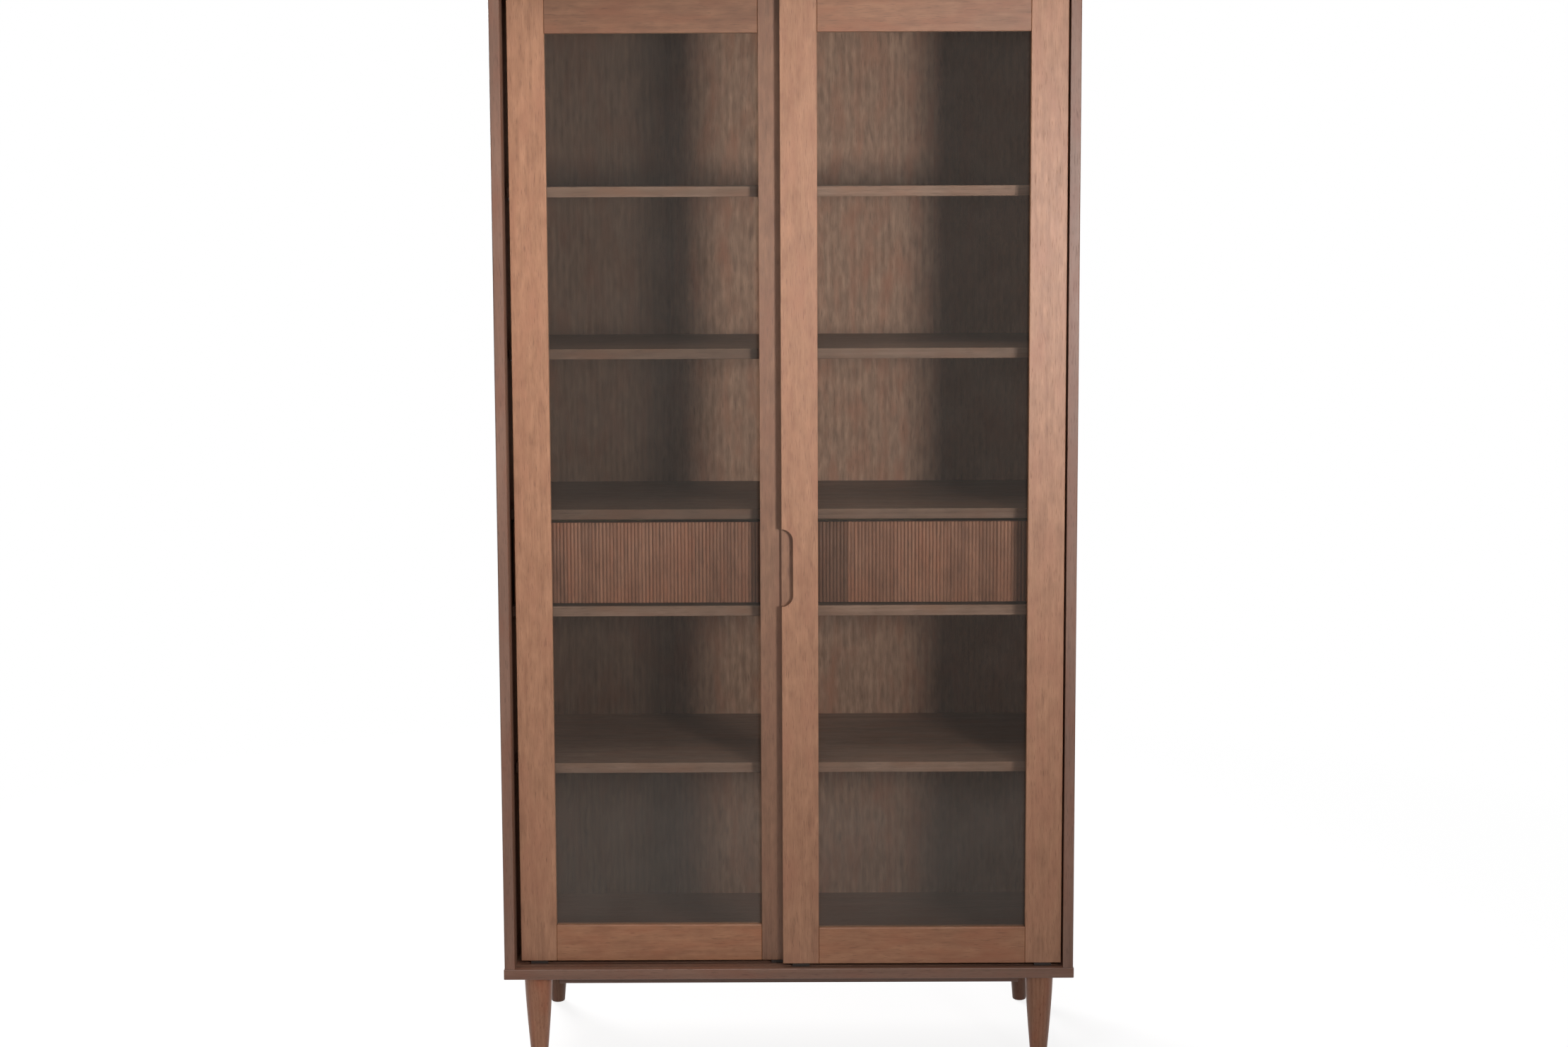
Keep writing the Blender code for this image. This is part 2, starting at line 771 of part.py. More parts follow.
def door_rail(name, left_x, right_x, low_z, outward, front_y, frame):
    """A cross piece of a door, with a tenon at each end and a groove for the glass."""
    middle_y = front_y + DOOR_THICK / 2
    left_end, right_end = left_x + FIT_GAP, right_x - FIT_GAP
    rail = block(
        name,
        (left_end, front_y, low_z),
        (right_end, front_y + DOOR_THICK, low_z + RAIL_HEIGHT),
        stained_oak(name, "door"),
        frame,
    )
    ease(rail)
    for label, low, high in (
        ("left", left_x - TENON_LENGTH, left_end + CUT_OVERRUN),
        ("right", right_end - CUT_OVERRUN, right_x + TENON_LENGTH),
    ):
        join_box(
            rail,
            f"{label}_tenon",
            (low, middle_y - TENON_THICK / 2, low_z + TENON_SHOULDER),
            (high, middle_y + TENON_THICK / 2, low_z + RAIL_HEIGHT - TENON_SHOULDER),
        )
    face_z = low_z if outward > 0 else low_z + RAIL_HEIGHT
    low, high = sorted(
        (face_z - outward * CUT_OVERRUN, face_z + outward * GLASS_GROOVE_DEPTH)
    )
    half = GLASS_THICK / 2 + FIT_GAP
    cut_box(
        rail,
        "glass_groove",
        (left_x - CUT_OVERRUN, middle_y - half, low),
        (right_x + CUT_OVERRUN, middle_y + half, high),
    )


def glide(name, middle_x, middle_y, frame):
    """A nylon block let into a stile's foot, whose keel slides along the track."""
    half_body = GLIDE_THICK / 2
    half_keel = GLIDE_KEEL_THICK / 2
    keel_z = floor_z - TRACK_DEPTH + FIT_GAP
    shoulder_z = door_low_z
    top_z = door_low_z + GLIDE_IN_STILE
    outline = [
        (-half_keel, keel_z),
        (half_keel, keel_z),
        (half_keel, shoulder_z),
        (half_body, shoulder_z),
        (half_body, top_z),
        (-half_body, top_z),
        (-half_body, shoulder_z),
        (-half_keel, shoulder_z),
    ]
    turn = Matrix.Rotation(math.pi / 2, 4, "Z") @ Matrix.Rotation(math.pi / 2, 4, "X")
    mesh = extruded_mesh(name, outline, GLIDE_LENGTH, turn)
    mesh.materials.clear()
    mesh.materials.append(black_nylon(name))
    piece = bpy.data.objects.new(name, mesh)
    cabinet.objects.link(piece)
    seat(piece, (middle_x, middle_y, 0), frame)


def cut_finger_recess(upright):
    """A shallow D-shaped scoop in the front door's outer edge, for pulling it along."""
    end_radius = min(RECESS_WIDTH, RECESS_HEIGHT / 2)
    half_straight = RECESS_HEIGHT / 2 - end_radius
    outline = [(-CUT_OVERRUN, RECESS_HEIGHT / 2)]
    for end, start_angle in ((1, math.pi / 2), (-1, 0)):
        for step in range(RECESS_STEPS + 1):
            angle = start_angle - math.pi / 2 * step / RECESS_STEPS
            across = RECESS_WIDTH - end_radius + end_radius * math.cos(angle)
            outline.append((across, end * half_straight + end_radius * math.sin(angle)))
    outline.append((-CUT_OVERRUN, -RECESS_HEIGHT / 2))
    length = RECESS_DEPTH + CUT_OVERRUN
    turn = Matrix.Rotation(math.pi / 2, 4, "X")
    mesh = extruded_mesh("finger_recess", outline, length, turn)
    middle_y = front_door_y + RECESS_DEPTH - length / 2
    tool = helper(mesh, (front_door_x, middle_y, recess_middle_z), upright)
    boolean(upright, tool, "DIFFERENCE")


def ribbed_outline(left_x, right_x):
    """The plan of a drawer front: half-round ribs along its face and a flat back."""
    width = right_x - left_x
    count = max(1, round(width / RIB_PITCH))
    pitch = width / count
    points = []
    for rib in range(count):
        for step in range(RIB_STEPS):
            angle = math.pi * step / RIB_STEPS
            x = left_x + pitch * (rib + (1 - math.cos(angle)) / 2)
            points.append((x, drawer_front_y + RIB_DEPTH * (1 - math.sin(angle))))
    points.append((right_x, drawer_front_y + RIB_DEPTH))
    points.append((right_x, drawer_front_y + DRAWER_FRONT_THICK))
    points.append((left_x, drawer_front_y + DRAWER_FRONT_THICK))
    return points


def drawer(name, bay_left, bay_right):
    """A drawer on side runners: a box of five pieces with a ribbed front screwed to it."""
    middle_x = (bay_left + bay_right) / 2
    frame = moving_frame(f"{name}_slide", (middle_x, drawer_front_y, bay_floor_z))
    front_low = bay_floor_z + DRAWER_REVEAL_TOP
    front_high = bay_top_z - DRAWER_REVEAL_TOP
    outline = ribbed_outline(
        bay_left + DRAWER_REVEAL_SIDE - middle_x, bay_right - DRAWER_REVEAL_SIDE - middle_x
    )
    mesh = extruded_mesh(
        f"{name}_front", outline, front_high - front_low, Matrix.Identity(4)
    )
    mesh.materials.clear()
    mesh.materials.append(stained_oak(f"{name}_front", "drawer"))
    front = bpy.data.objects.new(f"{name}_front", mesh)
    cabinet.objects.link(front)
    seat(front, (middle_x, 0, (front_low + front_high) / 2), frame)
    left_x = bay_left + DRAWER_SIDE_CLEARANCE
    right_x = bay_right - DRAWER_SIDE_CLEARANCE
    for label, outer, inward in (("left", left_x, 1), ("right", right_x, -1)):
        drawer_side(f"{name}_{label}_side", outer, inward, frame)
    inner_left, inner_right = left_x + DRAWER_SIDE_THICK, right_x - DRAWER_SIDE_THICK
    bottom_high = drawer_bottom_z + DRAWER_BOTTOM_THICK
    inner_front_y = drawer_box_y + DRAWER_SIDE_THICK
    inner_front = block(
        f"{name}_inner_front",
        (inner_left + FIT_GAP, drawer_box_y, drawer_side_low_z),
        (inner_right - FIT_GAP, inner_front_y, drawer_side_high_z),
        stained_oak(f"{name}_inner_front", "drawer_box"),
        frame,
    )
    cut_box(
        inner_front,
        "bottom_groove",
        (
            inner_left - CUT_OVERRUN,
            inner_front_y - DRAWER_BOTTOM_TUCK,
            drawer_bottom_z - FIT_GAP,
        ),
        (inner_right + CUT_OVERRUN, inner_front_y + CUT_OVERRUN, bottom_high + FIT_GAP),
    )
    tuck = DRAWER_BOTTOM_TUCK - FIT_GAP
    block(
        f"{name}_bottom",
        (inner_left - tuck, inner_front_y - tuck, drawer_bottom_z),
        (inner_right + tuck, drawer_rear_y, bottom_high),
        stained_oak(f"{name}_bottom", "drawer_box"),
        frame,
    )
    block(
        f"{name}_back",
        (inner_left + FIT_GAP, drawer_rear_y - DRAWER_SIDE_THICK, bottom_high + FIT_GAP),
        (inner_right - FIT_GAP, drawer_rear_y, drawer_side_high_z),
        stained_oak(f"{name}_back", "drawer_box"),
        frame,
    )


def drawer_side(name, outer, inward, frame):
    """A drawer's side, with a groove inside for the bottom and one outside for its runner."""
    low_x, high_x = sorted((outer, outer + inward * DRAWER_SIDE_THICK))
    side = block(
        name,
        (low_x, drawer_box_y, drawer_side_low_z),
        (high_x, drawer_rear_y, drawer_side_high_z),
        stained_oak(name, "drawer_box"),
        frame,
    )
    groove_depth = RUNNER_WIDTH - DRAWER_SIDE_CLEARANCE + 2 * FIT_GAP
    low, high = sorted((outer - inward * CUT_OVERRUN, outer + inward * groove_depth))
    cut_box(
        side,
        "runner_groove",
        (low, runner_front_y - RUNNER_STOP_GAP, runner_low_z - FIT_GAP),
        (high, drawer_rear_y + CUT_OVERRUN, runner_high_z + FIT_GAP),
    )
    inner = outer + inward * DRAWER_SIDE_THICK
    low, high = sorted((inner + inward * CUT_OVERRUN, inner - inward * DRAWER_BOTTOM_TUCK))
    inner_front_y = drawer_box_y + DRAWER_SIDE_THICK
    cut_box(
        side,
        "bottom_groove",
        (low, inner_front_y - DRAWER_BOTTOM_TUCK, drawer_bottom_z - FIT_GAP),
        (
            high,
            drawer_rear_y + CUT_OVERRUN,
            drawer_bottom_z + DRAWER_BOTTOM_THICK + FIT_GAP,
        ),
    )


def runners(name, bay_left, bay_right):
    """The two hardwood strips that a drawer's sides hang on."""
    for label, wall, inward in (("left", bay_left, 1), ("right", bay_right, -1)):
        low_x, high_x = sorted((wall + inward * FIT_GAP, wall + inward * RUNNER_WIDTH))
        block(
            f"{name}_{label}_runner",
            (low_x, runner_front_y, runner_low_z),
            (high_x, runner_rear_y, runner_high_z),
            stained_oak(f"{name}_{label}_runner", "drawer_box"),
        )


bottom_board()
top_board()
side_panel("left", -1)
side_panel("right", 1)
back_panel()
for shelf_name, shelf_low_z in loose_shelves():
    loose_shelf(shelf_name, shelf_low_z)
bay_board("drawer_bay_base", bay_base_z, 1)
bay_board("drawer_bay_top", bay_top_z, -1)
drawer_bay_divider()
for leg_label, leg_side_x, leg_side_y in leg_places():
    leg(leg_label, leg_side_x, leg_side_y)
under_rail("front", -1)
under_rail("rear", 1)
door("rear_door", rear_door_x, rear_door_y)
door("front_door", front_door_x, front_door_y)
cut_finger_recess(bpy.data.objects["front_door_left_stile"])
for bay_name, bay_low_x, bay_high_x in (
    ("left_drawer", -side_inner_x, -divider_face_x),
    ("right_drawer", divider_face_x, side_inner_x),
):
    runners(bay_name, bay_low_x, bay_high_x)
    drawer(bay_name, bay_low_x, bay_high_x)
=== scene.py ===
"""The looks of the display cabinet: stained oak, clear glass and small hardware around the
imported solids, standing on a white studio floor."""

import math
import random

import bmesh
import bpy
from mathutils import Color, Euler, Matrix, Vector
from mathutils.geometry import interpolate_bezier


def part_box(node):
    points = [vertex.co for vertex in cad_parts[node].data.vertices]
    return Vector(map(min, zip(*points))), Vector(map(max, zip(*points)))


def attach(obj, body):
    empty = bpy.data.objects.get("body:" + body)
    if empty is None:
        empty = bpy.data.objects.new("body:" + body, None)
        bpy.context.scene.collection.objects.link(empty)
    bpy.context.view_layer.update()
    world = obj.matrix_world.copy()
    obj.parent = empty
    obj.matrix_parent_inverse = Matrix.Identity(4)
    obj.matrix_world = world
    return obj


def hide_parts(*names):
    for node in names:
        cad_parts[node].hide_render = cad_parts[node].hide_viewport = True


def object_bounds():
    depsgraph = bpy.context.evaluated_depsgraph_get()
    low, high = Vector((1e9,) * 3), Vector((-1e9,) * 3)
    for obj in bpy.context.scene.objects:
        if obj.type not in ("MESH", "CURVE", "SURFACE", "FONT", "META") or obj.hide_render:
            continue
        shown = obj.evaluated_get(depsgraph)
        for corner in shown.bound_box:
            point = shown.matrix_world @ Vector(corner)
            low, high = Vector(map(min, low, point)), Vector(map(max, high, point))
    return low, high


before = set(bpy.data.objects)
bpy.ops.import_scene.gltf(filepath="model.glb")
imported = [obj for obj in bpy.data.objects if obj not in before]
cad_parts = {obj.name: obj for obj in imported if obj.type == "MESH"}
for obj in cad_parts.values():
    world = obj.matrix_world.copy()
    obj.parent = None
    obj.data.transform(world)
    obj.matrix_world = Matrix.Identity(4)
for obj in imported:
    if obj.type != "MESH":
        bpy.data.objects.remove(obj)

cad_box = [list(corner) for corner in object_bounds()]


# Top and bottom boards
# Each is an 18 mm board faced with crown-cut oak veneer, its grain running from side to side.
# The front edge has a solid oak lipping, and the whole is stained brown and lacquered satin.

MILLIMETRE = 0.001
chance = random.Random(11)


def linear(shade):
    """A colour written as sRGB hex, in the linear values that shaders take."""
    srgb = Color(int(shade[i : i + 2], 16) / 255 for i in (1, 3, 5))
    return (*srgb.from_srgb_to_scene_linear(), 1.0)


def add(tree, kind, sockets=None, out=None, **settings):
    """Adds one node and gives back one of its outputs. A socket takes a value or an output."""
    node = tree.nodes.new("ShaderNode" + kind)
    for name, value in settings.items():
        setattr(node, name, value)
    inputs = {socket.identifier: socket for socket in node.inputs}
    for name, value in (sockets or {}).items():
        if isinstance(value, bpy.types.NodeSocket):
            tree.links.new(value, inputs[name])
        else:
            inputs[name].default_value = value
    return node.outputs[out] if out else next((o for o in node.outputs if o.enabled), None)


def empty_material(name):
    material = bpy.data.materials.new(name)
    material.use_nodes = True
    material.node_tree.nodes.clear()
    return material, material.node_tree


def stained_oak(
    name,
    along,
    pale,
    deep,
    flush,
    pore,
    ring=8.0,
    rings=0.30,
    fibres=0.5,
    streaks=1.1,
    clouds=0.9,
    patch=60.0,
    gloss=0.3,
    run=0.014,
    stave=0.0,
    tone_and_shade_steps=(),
    blend=0.0,
    rear_figure=1.0,
    painted_recess=(),
):
    """Oak with its growth rings, long streaks and open pores, under satin lacquer.

    The grain is solid: rings lie round the pith that each piece keeps as a property, so a
    face shows arches or lines as it was sawn, and the ends show end grain. The eye sees soft
    streaks along the board, cloudy patches where the stain took unevenly, and short dark
    pores that dull the lacquer a little.

    Ring, patch and stave are widths in millimetres. The steps say where one leaf of veneer or
    run of staves follows another along x, and the step in tone; a step may also be painted
    shade, a stretch drawn darker where shadow falls. With a blend in metres the step is soft
    and on the front face alone, and rear_figure is how strong the grain is behind. A recess,
    when given, is drawn darker inside: painted shade for the shadow in a finger recess.
    """
    turns = {"X": (0, -math.pi / 2, 0), "Y": (math.pi / 2, 0, 0), "Z": (0, 0, 0)}
    lean = 0.016  # radians by which the grain runs out of true
    pore_width = 0.9 * MILLIMETRE  # three times the real width, so that they show
    fibre_width = 1.3 * MILLIMETRE
    streak_width = 7 * MILLIMETRE
    cloud_width = patch * MILLIMETRE
    flush_width = 28 * MILLIMETRE
    pore_depth = 0.12 * MILLIMETRE
    stave_share = 0.34
    stave_jump = (0.05, 0.04, 0.9)  # metres from one stave's place in the log to the next's
    leaf_jump = (0.06, 0.05, 0.8)
    # Painted shade: how dark the finger recess is drawn, for the shadow that lies in it
    recess_painted_shade = 0.7
    material, tree = empty_material(name)
    place = add(tree, "TexCoord", out="Object")
    pith = add(tree, "Attribute", out="Vector", attribute_type="OBJECT", attribute_name="pith")
    shade = add(tree, "Attribute", out="Fac", attribute_type="OBJECT", attribute_name="shade")
    log = add(tree, "VectorMath", {"Vector": place, "Vector_001": pith}, operation="SUBTRACT")
    own = None
    if stave or tone_and_shade_steps:
        x = add(tree, "SeparateXYZ", {"Vector": place}, out="X")
    if stave:
        first = add(
            tree, "Attribute", out="Fac", attribute_type="OBJECT", attribute_name="first_rib"
        )
        pitch = add(
            tree, "Attribute", out="Fac", attribute_type="OBJECT", attribute_name="rib_pitch"
        )
        start = add(tree, "Math", {"Value": x, "Value_001": first}, operation="SUBTRACT")
        step = add(tree, "Math", {"Value": start, "Value_001": pitch}, operation="SNAP")
        x = add(tree, "Math", {"Value": step, "Value_001": first}, operation="ADD")
        cell = add(
            tree,
            "TexVoronoi",
            {"W": x, "Scale": 1 / (stave * MILLIMETRE), "Randomness": 1.0},
            out="Color",
            voronoi_dimensions="1D",
        )
        jump = add(
            tree, "VectorMath", {"Vector": cell, "Vector_001": stave_jump}, operation="MULTIPLY"
        )
        log = add(tree, "VectorMath", {"Vector": log, "Vector_001": jump}, operation="ADD")
        own = add(tree, "SeparateColor", {"Color": cell}, out="Red")
    if blend:
        outward = add(tree, "TexCoord", out="Normal")
        outward = add(tree, "SeparateXYZ", {"Vector": outward}, out="Y")
        front = add(tree, "Math", {"Value": outward, "Value_001": 0.0}, operation="LESS_THAN")
    # Each step in tone: a leaf of veneer, a run of staves, or painted shade
    for number, (edge, step) in enumerate(tone_and_shade_steps, 1):
        past = add(tree, "Math", {"Value": x, "Value_001": edge}, operation="GREATER_THAN")
        risen = past
        if blend:
            ends = {"From Min": edge - blend / 2, "From Max": edge + blend / 2}
            risen = add(tree, "MapRange", {"Value": x, **ends}, interpolation_type="SMOOTHSTEP")
            risen = add(tree, "Math", {"Value": risen, "Value_001": front}, operation="MULTIPLY")
        shade = add(
            tree,
            "Math",
            {"Value": risen, "Value_001": step, "Value_002": shade},
            operation="MULTIPLY_ADD",
        )
        away, aside, up = leaf_jump
        jump = (away, aside * (-1) ** number, up)
        jump = add(tree, "VectorMath", {"Vector": jump, "Scale": past}, operation="SCALE")
        log = add(tree, "VectorMath", {"Vector": log, "Vector_001": jump}, operation="ADD")
    # Painted shade in the finger recess: within its outline and below the face it is drawn darker
    if painted_recess:
        middle, radius, straight, depth = painted_recess
        inside = add(
            tree, "VectorMath", {"Vector": place, "Vector_001": middle}, operation="SUBTRACT"
        )
        across = add(tree, "SeparateXYZ", {"Vector": inside}, out="X")
        sunk, rise = across.node.outputs["Y"], across.node.outputs["Z"]
        rise = add(tree, "Math", {"Value": rise}, operation="ABSOLUTE")
        rise = add(tree, "Math", {"Value": rise, "Value_001": straight}, operation="SUBTRACT")
        rise = add(tree, "Math", {"Value": rise, "Value_001": 0.0}, operation="MAXIMUM")
        reach = add(tree, "CombineXYZ", {"X": across, "Z": rise})
        reach = add(tree, "VectorMath", {"Vector": reach}, out="Value", operation="LENGTH")
        # A millimetre of slack takes in the recess's own wall and floor
        recess_shade = recess_painted_shade
        for value, limit, beyond in (
            (reach, radius + MILLIMETRE, "GREATER_THAN"),
            (sunk, depth + MILLIMETRE, "GREATER_THAN"),
            (sunk, MILLIMETRE / 2, "LESS_THAN"),
        ):
            kept = add(tree, "Math", {"Value": value, "Value_001": limit}, operation=beyond)
            recess_shade = add(tree, "Math", {"Value": recess_shade, "Value_001": kept}, operation="MAXIMUM")
        shade = add(tree, "Math", {"Value": shade, "Value_001": recess_shade}, operation="MULTIPLY")
    turned = add(
        tree,
        "Mapping",
        {"Vector": log, "Rotation": Euler(Vector(turns[along]) + Vector((lean, lean / 2, 0)))},
    )
    drawn = {}
    for part, length_share in (("ring", 0.07), ("fibre", run), ("pore", 0.045), ("cloud", 0.3)):
        drawn[part] = add(
            tree,
            "VectorMath",
            {"Vector": turned, "Vector_001": (1.0, 1.0, length_share)},
            operation="MULTIPLY",
        )
    ring_wave = add(
        tree,
        "TexWave",
        {
            "Vector": drawn["ring"],
            "Scale": math.pi / 10 / (ring * MILLIMETRE),
            "Distortion": 7.0,
            "Detail": 2.0,
            "Detail Scale": 0.16,
            "Detail Roughness": 0.55,
        },
        out="Fac",
        wave_type="RINGS",
        rings_direction="Z",
        wave_profile="SIN",
    )
    fibre = add(
        tree,
        "TexNoise",
        {"Vector": drawn["fibre"], "Scale": 1 / fibre_width, "Detail": 3.0, "Roughness": 0.65},
    )
    streak = add(
        tree,
        "TexNoise",
        {"Vector": drawn["fibre"], "Scale": 1 / streak_width, "Detail": 3.0, "Roughness": 0.6},
    )
    cloud = add(
        tree,
        "TexNoise",
        {"Vector": drawn["cloud"], "Scale": 1 / cloud_width, "Detail": 2.0, "Roughness": 0.5},
    )
    speck = add(
        tree,
        "TexNoise",
        {"Vector": drawn["pore"], "Scale": 1 / pore_width, "Detail": 1.0, "Roughness": 0.5},
    )
    pores = add(
        tree,
        "MapRange",
        {"Value": speck, "From Min": 0.60, "From Max": 0.72, "To Min": 0.0, "To Max": 1.0},
    )
    shares = [(ring_wave, rings), (fibre, fibres), (streak, streaks), (cloud, clouds)]
    if own:
        shares.append((own, stave_share))
    tone = 0.5 - sum(share for _, share in shares) / 2
    for pattern, share in shares:
        tone = add(
            tree,
            "Math",
            {"Value": pattern, "Value_001": share, "Value_002": tone},
            operation="MULTIPLY_ADD",
        )
    if blend:
        strength = {"Value": front, "Value_001": 1 - rear_figure, "Value_002": rear_figure}
        strength = add(tree, "Math", strength, operation="MULTIPLY_ADD")
        swing = add(tree, "Math", {"Value": tone, "Value_001": 0.5}, operation="SUBTRACT")
        swing = {"Value": swing, "Value_001": strength, "Value_002": 0.5}
        tone = add(tree, "Math", swing, operation="MULTIPLY_ADD")
    wood = add(
        tree,
        "Mix",
        {"Factor_Float": tone, "A_Color": linear(deep), "B_Color": linear(pale)},
        data_type="RGBA",
    )
    warm = add(
        tree,
        "TexNoise",
        {"Vector": drawn["cloud"], "Scale": 1 / flush_width, "Detail": 2.0},
    )
    warmth = add(
        tree,
        "MapRange",
        {"Value": warm, "From Min": 0.45, "From Max": 0.75, "To Min": 0.0, "To Max": 0.7},
    )
    wood = add(
        tree,
        "Mix",
        {"Factor_Float": warmth, "A_Color": wood, "B_Color": linear(flush)},
        data_type="RGBA",
    )
    stain = add(tree, "Math", {"Value": pores, "Value_001": 0.5}, operation="MULTIPLY")
    wood = add(
        tree,
        "Mix",
        {"Factor_Float": stain, "A_Color": wood, "B_Color": linear(pore)},
        data_type="RGBA",
    )
    wood = add(tree, "VectorMath", {"Vector": wood, "Scale": shade}, operation="SCALE")
    roughness = add(
        tree,
        "MapRange",
        {"Value": fibre, "From Min": 0.3, "From Max": 0.7, "To Min": 0.46, "To Max": 0.38},
    )
    roughness = add(
        tree,
        "Math",
        {"Value": pores, "Value_001": 0.15, "Value_002": roughness},
        operation="MULTIPLY_ADD",
    )
    relief = add(
        tree,
        "Math",
        {"Value": pores, "Value_001": -1.0, "Value_002": fibre},
        operation="MULTIPLY_ADD",
    )
    surface = add(
        tree,
        "Bump",
        {"Height": relief, "Strength": 0.35, "Distance": pore_depth},
    )
    shader = add(
        tree,
        "BsdfPrincipled",
        {
            "Base Color": wood,
            "Roughness": roughness,
            "Normal": surface,
            "IOR": 1.5,
            "Specular IOR Level": gloss,
        },
    )
    add(tree, "OutputMaterial", {"Surface": shader})
    return material


def coat(piece, material):
    """Leaves one finish on a piece."""
    piece.data.materials.clear()
    piece.data.materials.append(material)


def dress(piece, node, material, along, shade=1.0, nearest=0.015, farthest=0.07):
    """Gives a piece its finish, a factor that darkens or lightens its colour, and its own place in
    the log.

    Nearest and farthest bound, in metres, how far from the pith the piece was cut.
    """
    low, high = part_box(node)
    turn = chance.uniform(0, 2 * math.pi)
    distance = chance.uniform(nearest, farthest)
    across = [distance * math.cos(turn), distance * math.sin(turn)]
    across.insert("XYZ".index(along), chance.uniform(-1, 1))
    piece["pith"] = list((low + high) / 2 + Vector(across))
    piece["shade"] = shade
    coat(piece, material)


# The case's brown: its pale grain, deep grain, warm flush and pores
CASE_STAIN = ("#916c5a", "#6f5041", "#815340", "#3d2a22")
CASE_CUT = {"nearest": 0.05, "farthest": 0.12}

case_boards = stained_oak(
    "stained_oak_veneer_cross_grain", "X", *CASE_STAIN, clouds=0.7, gloss=0.45
)
for node in ("top_board", "bottom_board"):
    dress(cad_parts[node], node, case_boards, "X", shade=0.87, **CASE_CUT)


# Side panels
# 18 mm panels faced with the same veneer, but with the grain upright. The front edge is a solid
# lipping, rounded over on the outside, and the panels stand on tongues in the two boards.

side_veneer = stained_oak("stained_oak_veneer_upright", "Z", *CASE_STAIN, clouds=0.7, gloss=0.45)
for node in ("left_side_panel", "right_side_panel", "drawer_bay_divider"):
    dress(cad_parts[node], node, side_veneer, "Z", shade=0.9, **CASE_CUT)


# Back panel
# A 6 mm oak-faced sheet in grooves all round. It is seen through the glass, with a short upright
# grain, a little duller than the case because it is only sealed.

# Where each step in tone begins on the front face, and how much lighter it is than to its left.
# The first begins beyond the sheet's edge and the second undoes it, so the left-hand third is
# drawn darker, softened over the blend: painted shade for the shadow that falls there. The
# last two are leaves of veneer of unlike tone.
VENEER_LEAVES_AND_PAINTED_SHADE = ((-0.6, -0.58), (-0.218, 0.58), (0.030, 0.12), (0.278, -0.1))

back_veneer = stained_oak(
    "sealed_oak_faced_sheet",
    "Z",
    "#a5806a",
    "#705242",
    "#93604a",
    "#33231c",
    ring=12.0,
    rings=0.2,
    fibres=0.6,
    streaks=0.4,
    clouds=1.4,
    patch=9.0,
    gloss=0.08,
    run=0.045,
    tone_and_shade_steps=VENEER_LEAVES_AND_PAINTED_SHADE,
    blend=0.07,
    rear_figure=0.35,
)
dress(
    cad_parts["back_panel"],
    "back_panel",
    back_veneer,
    "Z",
    shade=0.85,
    nearest=0.08,
    farthest=0.12,
)


# Shelves
# Three loose shelves on pins and two fixed ones, let into the sides, that hold the drawers.
# They are 18 mm oak-veneered boards with lipped front edges and the grain across.

# The lippings are joined behind the doors' middle stiles, and the left-hand lengths are drawn
# darker than the right: painted shade, for light falling off away from the key lamp at the right.
# Each joint is its place from left to right, and the step in tone.
SHELF_JOINT_AND_PAINTED_SHADE = ((0.02, 0.24),)

shelf_veneer = stained_oak(
    "stained_oak_shelf_board",
    "X",
    "#866a5b",
    "#6a5143",
    "#7a5543",
    "#3f2f27",
    clouds=1.2,
    patch=16.0,
    gloss=0.1,
    tone_and_shade_steps=SHELF_JOINT_AND_PAINTED_SHADE,
)
SHELF_SHADES = {
    "upper_shelf": 0.93,
    "middle_shelf": 0.60,
    "drawer_bay_top": 0.54,
    "drawer_bay_base": 0.91,
    "lower_shelf": 1.0,
}
for node, shade in SHELF_SHADES.items():
    dress(
        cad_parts[node], node, shelf_veneer, "X", shade=shade, nearest=0.04, farthest=0.12
    )


# Shelf pins
# Short 5 mm steel pins, turned and bright zinc plated, pushed into drilled holes in the sides.
# The plating is faintly blue and its shine is broken by fine turning marks.


def zinc_plated_steel(name):
    """Bright zinc on turned steel: a cool grey metal with a soft, slightly patchy shine."""
    mark_width = 0.6 * MILLIMETRE
    mark_depth = 0.02 * MILLIMETRE
    material, tree = empty_material(name)
    place = add(tree, "TexCoord", out="Object")
    marks = add(tree, "TexNoise", {"Vector": place, "Scale": 1 / mark_width, "Detail": 2.0})
    colour = add(
        tree,
        "Mix",
        {"Factor_Float": marks, "A_Color": linear("#b9bcc0"), "B_Color": linear("#d7d9da")},
        data_type="RGBA",
    )
    roughness = add(
        tree,
        "MapRange",
        {"Value": marks, "From Min": 0.3, "From Max": 0.7, "To Min": 0.22, "To Max": 0.38},
    )
    surface = add(tree, "Bump", {"Height": marks, "Strength": 0.2, "Distance": mark_depth})
    shader = add(
        tree,
        "BsdfPrincipled",
        {"Base Color": colour, "Metallic": 1.0, "Roughness": roughness, "Normal": surface},
    )
    add(tree, "OutputMaterial", {"Surface": shader})
    return material


pin_zinc = zinc_plated_steel("bright_zinc_plated_steel")
for shelf in ("upper_shelf", "middle_shelf", "lower_shelf"):
    for row in ("front", "rear"):
        for side in ("left", "right"):
            coat(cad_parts[f"{shelf}_{row}_{side}_pin"], pin_zinc)


# Legs and under-rails
# Solid oak legs, turned to a slender taper with a round-edged foot, stained like the doors, each
# on a stud in the bottom board. Two square rails, in the case's oak, stiffen the board.

LEG_ROUNDING = 3 * MILLIMETRE
LEG_SIDES = 72
LEG_STEPS = 24
LEG_ROUNDING_STEPS = 6
LEG_SHARPEST = math.radians(50)
LEG_STUD_RADIUS = 6 * MILLIMETRE
LEG_TOP_RADIUS = 25 * MILLIMETRE
LEG_FOOT_RADIUS = 13 * MILLIMETRE
# Bezier handles of the taper: radius as a share of the top's, height as a share of the leg's
LEG_HANDLE_SHARES = ((0.944, 0.667), (0.712, 0.35))
# The rear legs and the rails are drawn a much deeper brown: painted shade, as they stand in
# shade under the case
LEG_TONES_AND_PAINTED_SHADE = {"front": 1.15, "rear": 0.5}
UNDER_RAIL_PAINTED_SHADE = 0.55

leg_oak = stained_oak(
    "turned_solid_oak", "Z", "#ad7e63", "#7b533f", "#9a583e", "#4d3024", ring=7.0, rings=0.2
)


